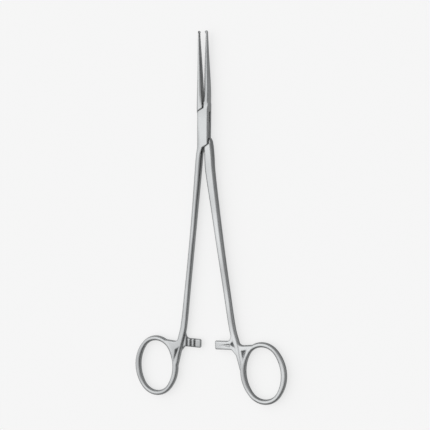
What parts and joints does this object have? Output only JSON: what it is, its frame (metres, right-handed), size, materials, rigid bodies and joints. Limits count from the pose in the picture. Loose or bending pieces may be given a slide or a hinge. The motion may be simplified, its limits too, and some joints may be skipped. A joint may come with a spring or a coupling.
{
  "type": "mosquito forceps",
  "caption": "Long straight mosquito forceps with a box lock, oval finger rings, a ratchet, cross-grooved jaws and fine teeth at the tips.",
  "frame": {"origin": "on the pivot axis of the box lock, in the flat back face of the box", "axes": "+X towards the right ring seen from the front, +Y from the rings to the jaw tips midway between the arms, +Z from the back face to the front"},
  "size_m": [0.0884, 0.1985, 0.0054],
  "materials": {
    "box_arm_steel": "satin polished stainless steel",
    "passing_arm_steel": "satin polished stainless steel",
    "lock_pin_steel": "satin stainless steel, ground flush"
  },
  "bodies": {
    "box_arm": {"box_arm": "box_arm_steel", "lock_pin": "lock_pin_steel"},
    "passing_arm": {"passing_arm": "passing_arm_steel"}
  },
  "joints": [
    {"name": "box_lock_pivot", "type": "hinge", "parent": "box_arm", "child": "passing_arm", "pos_m": [0, 0, 0.0027], "axis": [0, 0, 1], "range_deg": [-4.1, 40]}
  ]
}
